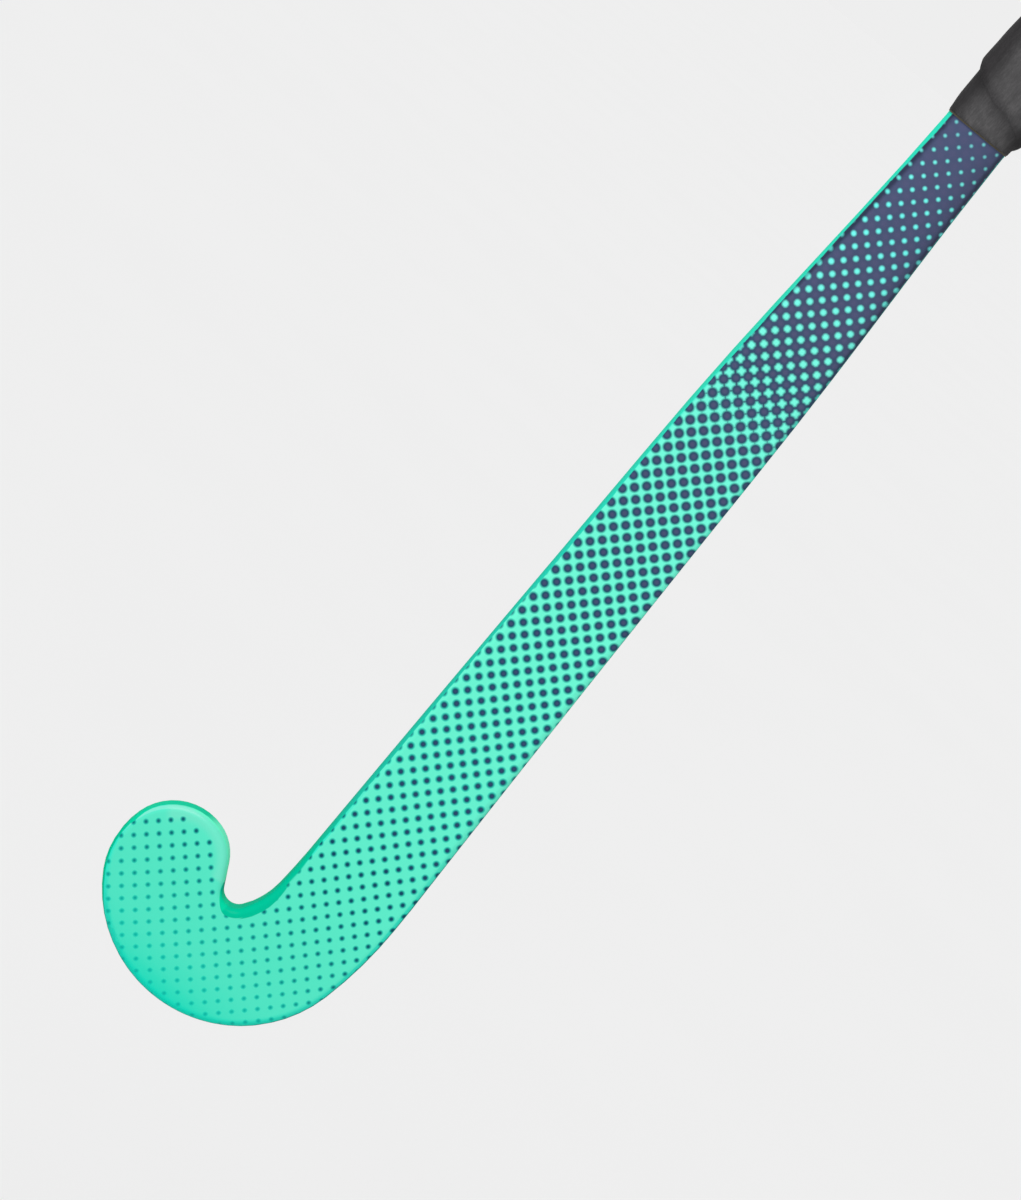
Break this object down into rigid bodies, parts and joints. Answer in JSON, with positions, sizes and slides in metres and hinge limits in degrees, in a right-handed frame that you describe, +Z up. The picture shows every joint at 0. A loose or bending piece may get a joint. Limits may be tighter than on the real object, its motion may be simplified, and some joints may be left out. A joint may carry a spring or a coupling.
{
  "type": "field hockey stick",
  "caption": "Moulded composite field hockey stick with a hooked J head, flat playing face, bowed shaft and taped handle, for striking and stopping a ball.",
  "frame": {"origin": "on the handle axis in the plane of the handle's cut end, where the end cap sits", "axes": "+Z up along the straight handle, toe of the head towards -X, flat playing face towards -Y"},
  "size_m": [0.1172, 0.0648, 0.9268],
  "materials": {
    "printed_lacquer": "satin lacquer over a mint to navy dot-screen print",
    "aramid_ply": "resin-wetted aramid weave",
    "core_foam": "rigid polyurethane foam",
    "carbon_laminate": "cured carbon braid",
    "cap_rubber": "matte moulded rubber",
    "finishing_tape": "thin olive-brown cloth tape",
    "sleeve_foam": "soft dark foam sleeve",
    "grip_fabric": "matte charcoal wound tape with a short fibrous nap"
  },
  "bodies": {
    "root": {"outer_shell": "printed_lacquer", "face_impact_ply": "aramid_ply", "head_foam_core": "core_foam", "inner_tube_toe_side": "carbon_laminate", "inner_tube_heel_side": "carbon_laminate", "handle_foam_plug": "core_foam", "end_cap": "cap_rubber", "grip_finishing_tape": "finishing_tape", "under_grip_sleeve": "sleeve_foam", "grip_tape": "grip_fabric"}
  },
  "joints": []
}
